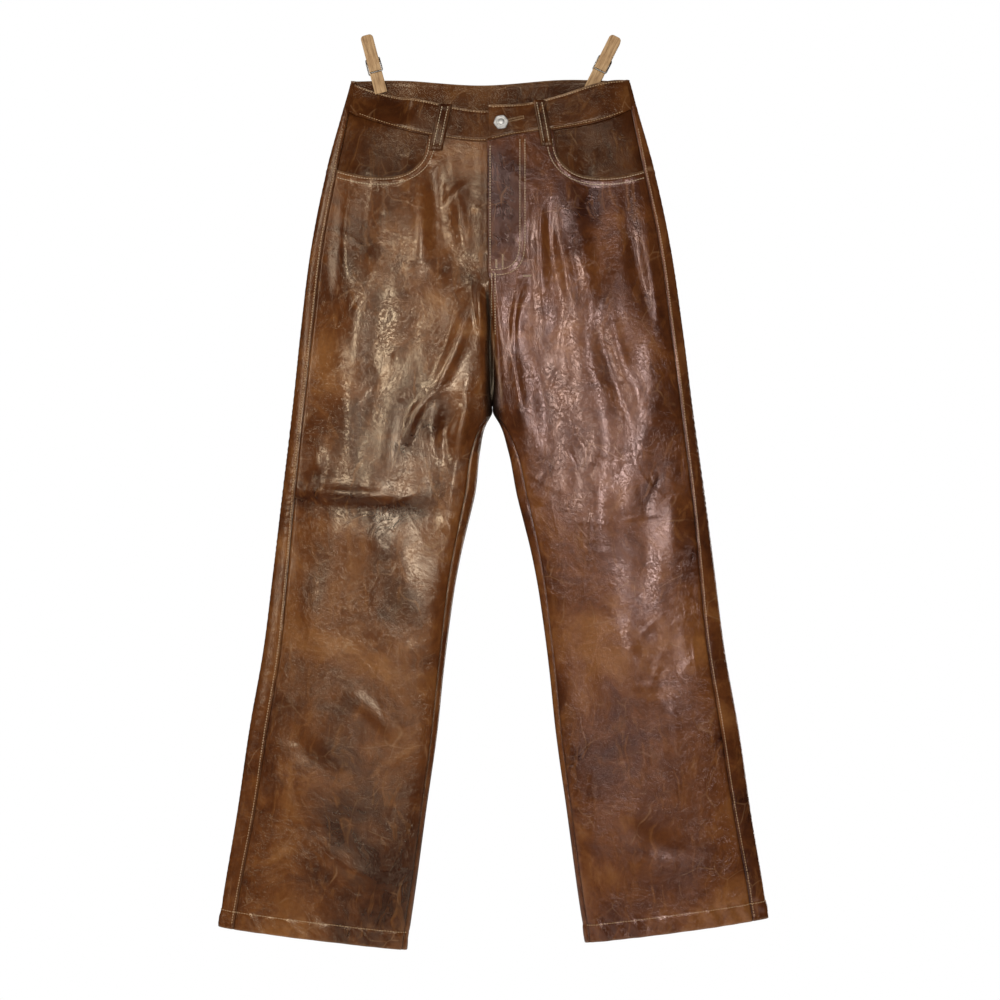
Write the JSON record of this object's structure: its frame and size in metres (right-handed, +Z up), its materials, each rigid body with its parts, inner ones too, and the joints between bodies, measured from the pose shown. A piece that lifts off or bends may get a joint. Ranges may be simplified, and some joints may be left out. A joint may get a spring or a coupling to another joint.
{
  "type": "faux leather trousers on two clothes pegs",
  "caption": "High-waisted straight-leg faux leather trousers with scooped front pockets, belt loops, a buttoned waistband and a J-stitched fly, hung flat by spring clothes pegs.",
  "frame": {"origin": "midway between the two clothes pegs, level with the top edge of the back waistband, in the middle plane of the trousers", "axes": "+Z up along the legs towards the waist, +X across to the wearer's left, the front of the trousers faces -Y"},
  "size_m": [0.6555, 0.0443, 1.0978],
  "materials": {
    "leather": "glossy brown faux leather with darker and amber clouding, pale veins and fine crinkles",
    "button_metal": "polished silver shank button",
    "peg_wood": "plain unvarnished wood with a fine straight grain",
    "spring_steel": "plain drawn steel wire"
  },
  "bodies": {
    "root": {"front_left": "leather", "front_right": "leather", "back_left": "leather", "back_right": "leather", "band_front_left": "leather", "band_front_right": "leather", "band_back": "leather", "pocket_facing_left": "leather", "pocket_facing_right": "leather", "fly_facing": "leather", "loop_front_left": "leather", "loop_front_right": "leather", "loop_back_left": "leather", "loop_back_middle": "leather", "loop_back_right": "leather", "button": "button_metal", "peg_left_front": "peg_wood", "peg_left_back": "peg_wood", "peg_left_spring": "spring_steel", "peg_right_front": "peg_wood", "peg_right_back": "peg_wood", "peg_right_spring": "spring_steel"}
  },
  "joints": []
}
